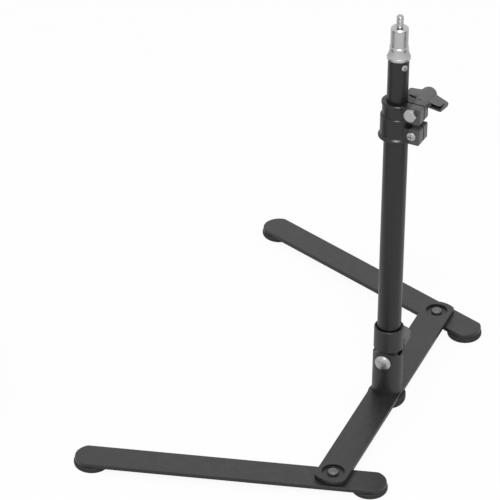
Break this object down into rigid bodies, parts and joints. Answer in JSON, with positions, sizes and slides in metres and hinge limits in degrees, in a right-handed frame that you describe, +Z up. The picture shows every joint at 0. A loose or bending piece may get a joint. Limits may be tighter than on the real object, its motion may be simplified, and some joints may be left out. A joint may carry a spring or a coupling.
{
  "type": "folding light stand",
  "caption": "Small folding floor stand: flat swinging legs under a bar, a tilting tube post, a sliding inner tube held by a clamp, and a mounting spigot with a threaded stud.",
  "frame": {"origin": "on the floor, on the axis of the upright post", "axes": "+Z up along the post, Y along the base bar, legs reach towards -X, clamp ears and knob towards +X and +Y"},
  "size_m": [0.2803, 0.4675, 0.4071],
  "materials": {
    "black_paint": "fine textured black powder coat",
    "black_tube": "satin black anodised",
    "black_plastic": "satin black moulded",
    "steel": "zinc plated",
    "brass": "plain",
    "spigot_metal": "bright nickel plated",
    "rubber": "matt"
  },
  "bodies": {
    "base": {"base_bar": "black_paint", "centre_foot": "rubber", "knuckle_screw": "steel", "pivot_screws": "steel", "pivot_washers": "steel", "pivot_nuts": "steel", "lower_knuckle": "black_plastic", "tilt_bolt": "steel", "tilt_washer": "steel"},
    "front_leg": {"front_leg": "black_paint", "front_leg_heel_foot": "rubber", "front_leg_end_foot": "rubber", "front_leg_foot_screws": "steel"},
    "rear_leg": {"rear_leg": "black_paint", "rear_leg_heel_foot": "rubber", "rear_leg_end_foot": "rubber", "rear_leg_foot_screws": "steel"},
    "tilt_knob": {"tilt_knob": "black_plastic", "tilt_knob_insert": "brass"},
    "post": {"upper_knuckle": "black_plastic", "lower_tube": "black_tube", "clamp_body": "black_plastic", "clamp_bolt": "steel", "clamp_washer": "steel", "sleeve_screw": "steel", "sleeve_nut": "steel"},
    "clamp_knob": {"clamp_knob": "black_plastic", "clamp_knob_insert": "brass"},
    "glide": {"guide_bush": "black_plastic"},
    "upper": {"upper_tube": "black_tube", "spigot": "spigot_metal", "threaded_stud": "steel", "spigot_screw": "steel"}
  },
  "joints": [
    {"name": "front_leg_swing", "type": "hinge", "parent": "base", "child": "front_leg", "pos_m": [0, -0.1438, 0.008], "axis": [0, 0, 1], "range_deg": [-89, 76]},
    {"name": "rear_leg_swing", "type": "hinge", "parent": "base", "child": "rear_leg", "pos_m": [0, 0.1438, 0.008], "axis": [0, 0, 1], "range_deg": [-231, 24]},
    {"name": "tilt_knob_turn", "type": "hinge", "parent": "base", "child": "tilt_knob", "pos_m": [0, 0.026, 0.0512], "axis": [0, 1, 0], "continuous": true},
    {"name": "post_tilt", "type": "hinge", "parent": "base", "child": "post", "pos_m": [0, 0, 0.0512], "axis": [0, 1, 0], "range_deg": [-30, 30]},
    {"name": "clamp_knob_turn", "type": "hinge", "parent": "post", "child": "clamp_knob", "pos_m": [0.01746, -0.00122, 0.317], "axis": [0.0698, 0.9976, 0], "continuous": true},
    {"name": "post_slide", "type": "slide", "parent": "post", "child": "glide", "axis": [0, 0, 1], "range_m": [-0.0325, 0.1835]},
    {"name": "post_turn", "type": "hinge", "parent": "glide", "child": "upper", "pos_m": [0, 0, 0.3], "axis": [0, 0, 1], "continuous": true}
  ]
}
